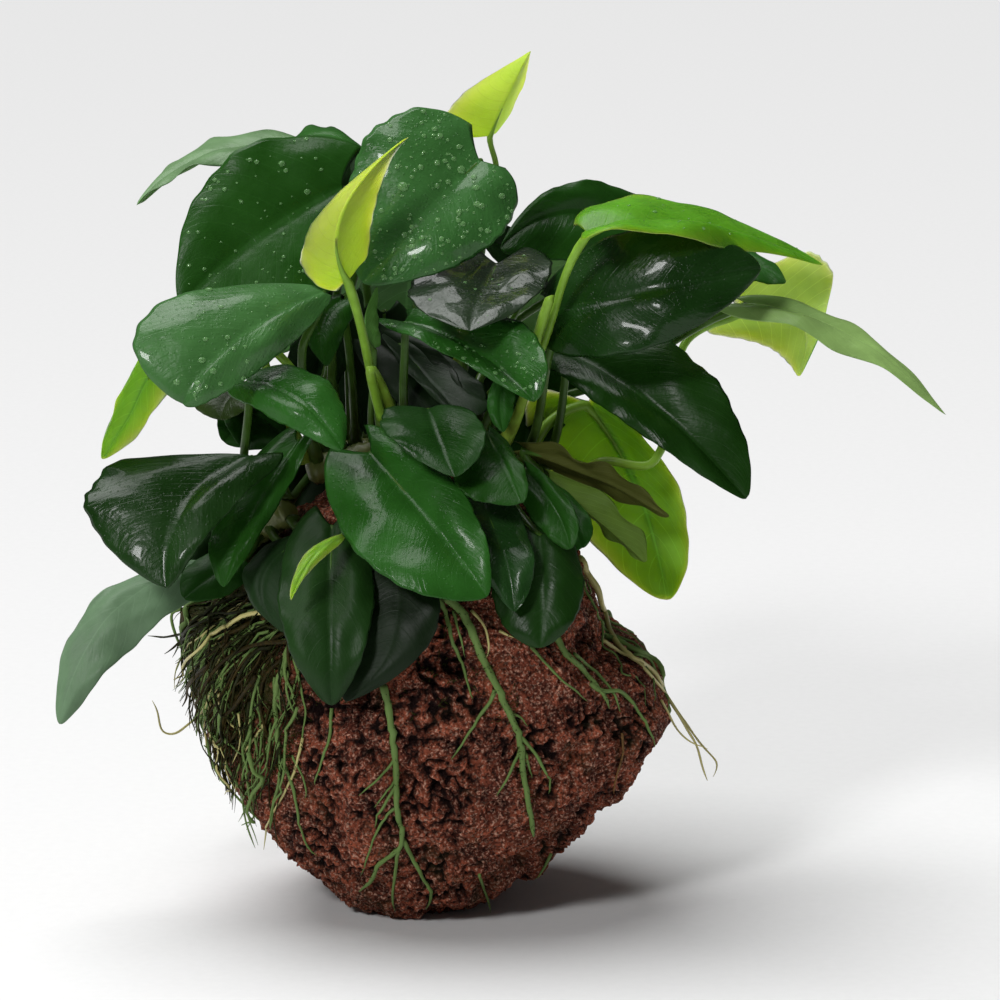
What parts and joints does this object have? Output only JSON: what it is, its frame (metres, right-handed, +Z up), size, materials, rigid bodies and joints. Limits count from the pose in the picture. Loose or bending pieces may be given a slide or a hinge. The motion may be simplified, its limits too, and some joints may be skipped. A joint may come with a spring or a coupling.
{
  "type": "anubias on stone",
  "caption": "Anubias aquarium plant with broad glossy leaves on slender stems, grown with its creeping rhizome and roots onto a lump of red lava stone that stands on its flat foot.",
  "frame": {"origin": "middle of the flat foot on which the stone stands", "axes": "+Z up, -Y towards the side that the picture shows, +X to the right as seen from that side"},
  "size_m": [0.261, 0.164, 0.2547],
  "materials": {
    "stone": "matte",
    "rhizome": "satin",
    "mature_leaf": "gloss",
    "middle_leaf": "gloss",
    "young_leaf": "gloss",
    "fresh_leaf": "gloss",
    "olive_leaf": "gloss",
    "root": "matte",
    "pale_root": "satin"
  },
  "bodies": {
    "root": {"stone": "stone", "rhizome_left": "rhizome", "rhizome_right": "rhizome", "rhizome_back": "rhizome", "rhizome_low": "rhizome", "leaf_crown_left": "mature_leaf", "leaf_crown_wet": "mature_leaf", "leaf_far_left_high": "middle_leaf", "leaf_back_left": "middle_leaf", "young_leaf_front": "young_leaf", "young_leaf_top": "young_leaf", "leaf_left_wet": "middle_leaf", "leaf_left_hanging": "fresh_leaf", "leaf_front_small": "middle_leaf", "leaf_left_heart": "mature_leaf", "leaf_left_narrow": "mature_leaf", "leaf_lowest_left": "olive_leaf", "leaf_left_under": "olive_leaf", "leaf_left_shade": "mature_leaf", "leaf_low_shade": "mature_leaf", "leaf_front_centre": "middle_leaf", "leaf_front_low": "mature_leaf", "young_leaf_low": "young_leaf", "leaf_front_behind": "mature_leaf", "leaf_front_shade": "mature_leaf", "leaf_front_right_low": "mature_leaf", "leaf_front_right_mid": "mature_leaf", "leaf_front_right_high": "mature_leaf", "leaf_front_right_side": "mature_leaf", "leaf_front_right_back": "middle_leaf", "leaf_centre_flat": "mature_leaf", "leaf_centre_wet": "mature_leaf", "leaf_centre_drops": "middle_leaf", "leaf_centre_shade": "mature_leaf", "leaf_centre_small": "middle_leaf", "young_leaf_rolled": "middle_leaf", "leaf_inner_left": "mature_leaf", "leaf_right_dark": "mature_leaf", "leaf_right_hanging": "mature_leaf", "leaf_right_pale": "fresh_leaf", "leaf_right_underside": "fresh_leaf", "leaf_right_olive": "olive_leaf", "leaf_right_olive_low": "olive_leaf", "leaf_far_right_underside": "fresh_leaf", "leaf_far_right_twisted": "middle_leaf", "leaf_right_tip": "middle_leaf", "leaf_back_right": "mature_leaf", "leaf_behind_left": "mature_leaf", "leaf_behind_middle": "mature_leaf", "leaf_behind_right": "middle_leaf", "leaf_behind_low_left": "mature_leaf", "leaf_behind_low_middle": "middle_leaf", "leaf_behind_low_right": "mature_leaf", "root_front": "root", "root_thick": "root", "root_thin": "root", "root_right": "root", "root_pale": "pale_root", "root_left": "root", "root_far_left": "root"}
  },
  "joints": []
}
